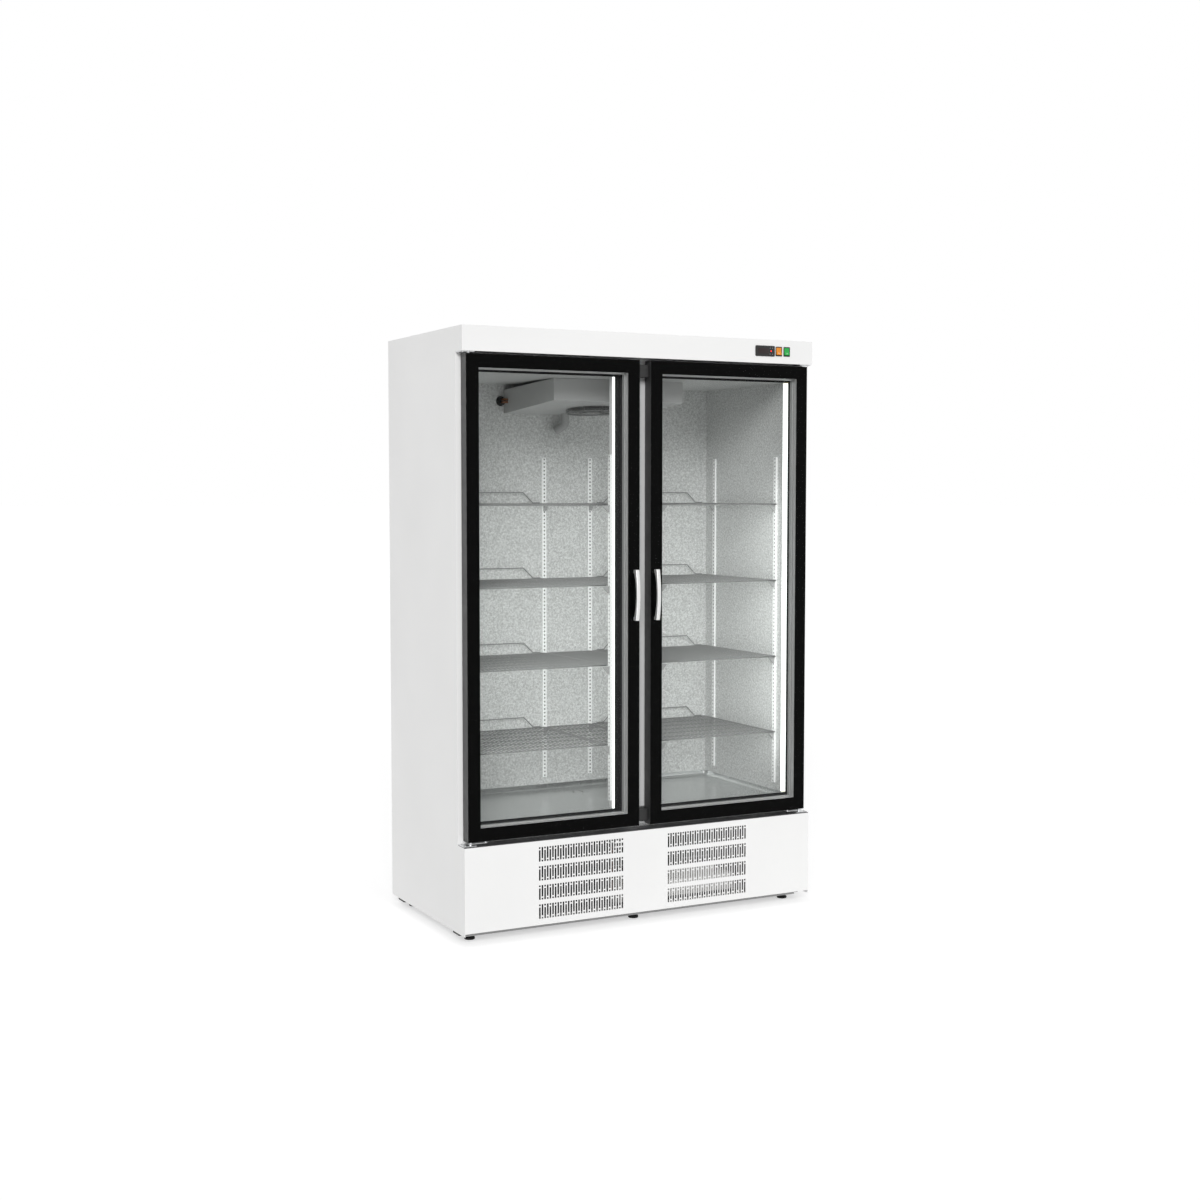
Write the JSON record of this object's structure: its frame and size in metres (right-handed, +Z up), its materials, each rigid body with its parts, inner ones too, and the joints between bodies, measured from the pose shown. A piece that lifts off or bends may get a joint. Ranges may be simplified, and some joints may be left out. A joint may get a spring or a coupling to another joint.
{
  "type": "glass door merchandiser",
  "caption": "Upright refrigerated display cabinet with hinged glass doors, wire shelves, vertical light strips and a grilled machine room below.",
  "frame": {"origin": "on the floor, under the centre of the whole object's box with the doors shut", "axes": "+Z up, +X to the right of a person facing the doors, the doors face -Y"},
  "size_m": [1.38, 0.717, 2.068],
  "materials": {
    "white_panel": "satin",
    "side_panel": "satin",
    "galvanised_panel": "satin",
    "base_grey": "satin",
    "sill_grey": "satin",
    "liner_white": "satin",
    "foam": "matte",
    "black_plastic": "satin",
    "breaker_black": "satin",
    "led_white": "gloss",
    "mullion_white": "satin",
    "standard_steel": "satin",
    "shelf_coating": "satin",
    "clip_white": "satin",
    "evaporator_grey": "satin",
    "fin_aluminium": "satin",
    "guard_wire": "satin",
    "motor_black": "satin",
    "fan_grey": "satin",
    "drain_white": "satin",
    "controller_black": "gloss",
    "switch_black": "satin",
    "rocker_orange": "gloss",
    "rocker_green": "gloss",
    "hinge_steel": "satin",
    "tray_steel": "satin",
    "pan_plastic": "satin",
    "compressor_black": "satin",
    "copper": "satin",
    "gland_black": "matte",
    "grille_grey": "satin",
    "foot_rubber": "matte",
    "front_glass": "gloss",
    "inner_glass": "gloss",
    "spacer_metal": "satin",
    "frame_grey": "satin",
    "gasket_black": "matte",
    "handle_silver": "satin",
    "bush_black": "satin"
  },
  "bodies": {
    "cabinet": {"side_panel_left": "side_panel", "side_panel_right": "side_panel", "back_panel": "galvanised_panel", "top_panel": "white_panel", "fascia_panel": "white_panel", "lower_front_panel": "white_panel", "door_sill": "sill_grey", "base_frame": "base_grey", "rail_end_blocks": "black_plastic", "foam_insulation": "foam", "liner_sides": "liner_white", "liner_back": "liner_white", "liner_ceiling": "liner_white", "floor_pan": "liner_white", "breaker_frames": "breaker_black", "mullion": "mullion_white", "gap_blocks": "black_plastic", "led_strips": "led_white", "shelf_standards": "standard_steel", "shelves_left": "shelf_coating", "shelves_centre": "shelf_coating", "shelves_right": "shelf_coating", "shelf_clips": "clip_white", "evaporator_housing": "evaporator_grey", "evaporator_coil": "fin_aluminium", "evaporator_guard": "guard_wire", "evaporator_motor": "motor_black", "drain_fittings": "drain_white", "temperature_controller": "controller_black", "switch_bezels": "switch_black", "hinge_brackets": "hinge_steel", "unit_tray": "tray_steel", "condensate_pan": "pan_plastic", "compressor": "compressor_black", "condenser_coil": "fin_aluminium", "condenser_shroud": "motor_black", "condenser_motor": "motor_black", "refrigerant_pipes": "copper", "cable_gland": "gland_black", "rear_grille": "grille_grey"},
    "door_left": {"door_left_outer_glass": "front_glass", "door_left_inner_glass": "inner_glass", "door_left_spacers": "spacer_metal", "door_left_frame": "frame_grey", "door_left_gasket": "gasket_black", "door_left_handle": "handle_silver", "door_left_bushes": "bush_black"},
    "door_right": {"door_right_outer_glass": "front_glass", "door_right_inner_glass": "inner_glass", "door_right_spacers": "spacer_metal", "door_right_frame": "frame_grey", "door_right_gasket": "gasket_black", "door_right_handle": "handle_silver", "door_right_bushes": "bush_black"},
    "evaporator_fan": {"evaporator_fan": "fan_grey"},
    "condenser_fan": {"condenser_fan": "fan_grey"},
    "light_rocker": {"light_rocker": "rocker_orange"},
    "power_rocker": {"power_rocker": "rocker_green"},
    "front_feet": {"front_feet": "foot_rubber"},
    "rear_feet": {"rear_feet": "foot_rubber"}
  },
  "joints": [
    {"name": "door_left_hinge", "type": "hinge", "parent": "cabinet", "child": "door_left", "pos_m": [-0.66, -0.3155, 1.163], "axis": [0, 0, 1], "range_deg": [-105, 0]},
    {"name": "door_right_hinge", "type": "hinge", "parent": "cabinet", "child": "door_right", "pos_m": [0.66, -0.3155, 1.163], "axis": [0, 0, 1], "range_deg": [0, 105]},
    {"name": "evaporator_fan_spin", "type": "hinge", "parent": "cabinet", "child": "evaporator_fan", "pos_m": [0, 0.0785, 1.82743], "axis": [0, 0.0676, 0.9977], "continuous": true},
    {"name": "condenser_fan_spin", "type": "hinge", "parent": "cabinet", "child": "condenser_fan", "pos_m": [-0.25, -0.139, 0.173], "axis": [0, 1, 0], "continuous": true},
    {"name": "light_switch", "type": "hinge", "parent": "cabinet", "child": "light_rocker", "pos_m": [0.5445, -0.334, 2.027], "axis": [1, 0, 0], "range_deg": [0, 16]},
    {"name": "power_switch", "type": "hinge", "parent": "cabinet", "child": "power_rocker", "pos_m": [0.5785, -0.334, 2.027], "axis": [1, 0, 0], "range_deg": [0, 16]},
    {"name": "front_feet_level", "type": "slide", "parent": "cabinet", "child": "front_feet", "axis": [0, 0, -1], "range_m": [0, 0.015]},
    {"name": "rear_feet_level", "type": "slide", "parent": "cabinet", "child": "rear_feet", "axis": [0, 0, -1], "range_m": [0, 0.015]}
  ]
}
